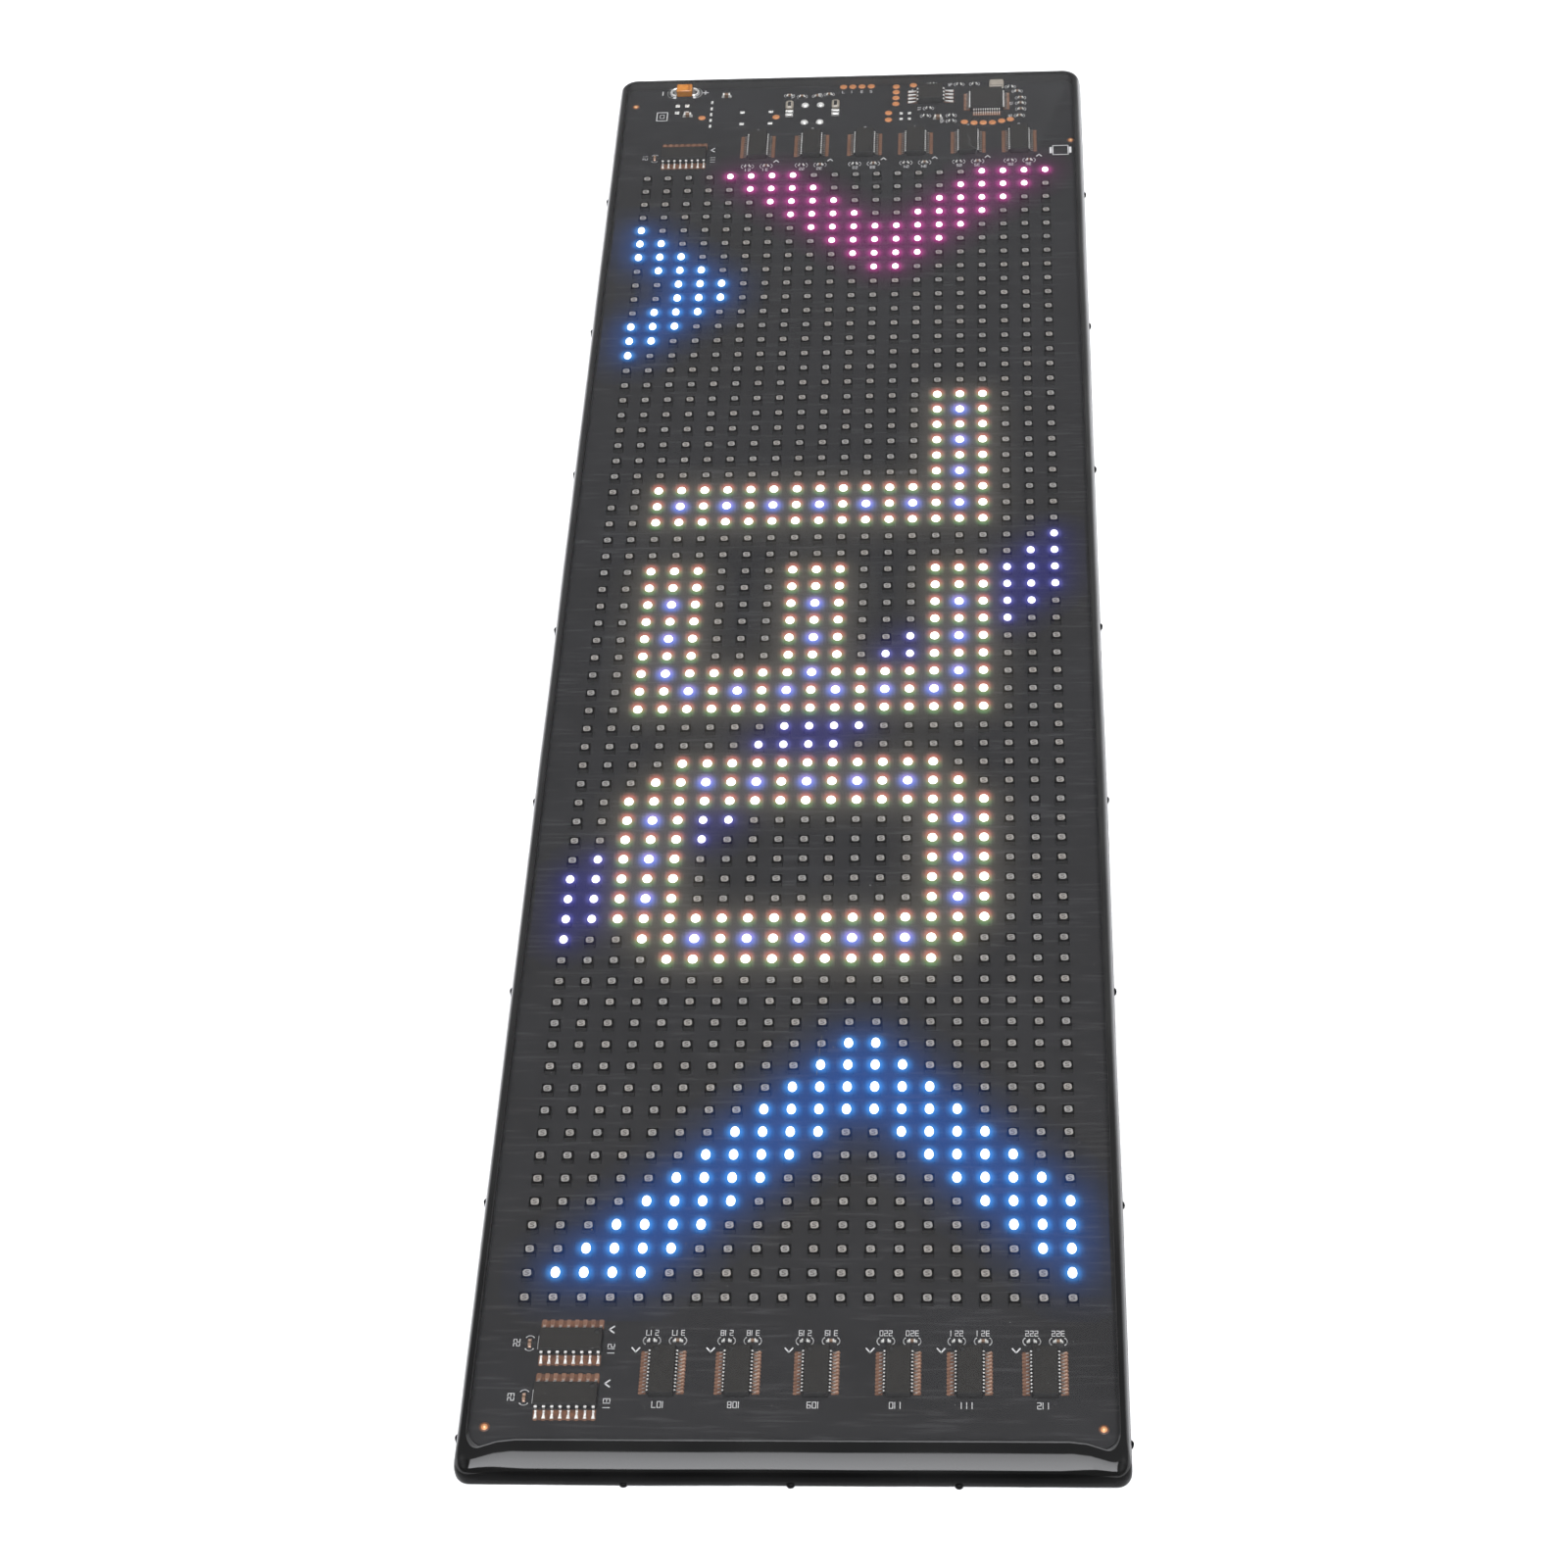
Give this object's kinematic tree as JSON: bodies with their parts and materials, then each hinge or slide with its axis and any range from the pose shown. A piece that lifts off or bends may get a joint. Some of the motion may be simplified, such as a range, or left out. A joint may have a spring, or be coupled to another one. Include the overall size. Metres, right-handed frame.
{
  "type": "flexible LED sign panel",
  "caption": "Thin soft rectangular LED matrix panel: LED lattice, driver chips at both ends, controller at the far end, clear gel front in a black moulded tray.",
  "frame": {"origin": "middle of the outline, on the flat back that the panel lies on", "axes": "+Z out of the lit face, +Y along the panel to the far end with the controller, +X across it, to the right as seen from the near end"},
  "size_m": [0.1026, 0.3506, 0.0042],
  "materials": {
    "black_moulding": "glossy black soft moulding, slightly scuffed",
    "board": "black cover film",
    "clear_gel": "clear glossy gel",
    "led_window": "milky window",
    "chip": "moulded black package",
    "small_ceramic": "fired ceramic chip with solder ends",
    "orange_ceramic": "orange ceramic between white solder ends",
    "crystal_case": "pale case",
    "copper": "bare copper pad",
    "solder": "bright solder"
  },
  "bodies": {
    "root": {"clear_coat": "clear_gel", "column_driver_1": "chip", "column_driver_10": "chip", "column_driver_11": "chip", "column_driver_12": "chip", "column_driver_2": "chip", "column_driver_3": "chip", "column_driver_4": "chip", "column_driver_5": "chip", "column_driver_6": "chip", "column_driver_7": "chip", "column_driver_8": "chip", "column_driver_9": "chip", "controller": "chip", "controller_capacitors": "small_ceramic", "controller_resistors": "small_ceramic", "crystal": "crystal_case", "driver_capacitors": "small_ceramic", "driver_resistors": "small_ceramic", "fiducial_marks": "copper", "flash_memory": "chip", "flex_board": "board", "input_capacitor": "orange_ceramic", "led_block_1": "led_window", "led_block_2": "led_window", "led_block_3": "led_window", "led_block_4": "led_window", "led_block_5": "led_window", "led_block_6": "led_window", "led_block_7": "led_window", "led_block_8": "led_window", "moulded_backing": "black_moulding", "row_capacitors": "small_ceramic", "row_driver_1": "chip", "row_driver_2": "chip", "row_driver_3": "chip", "supply_capacitors": "small_ceramic", "supply_fuses": "small_ceramic", "supply_joints": "solder", "test_pads": "copper"}
  },
  "joints": []
}
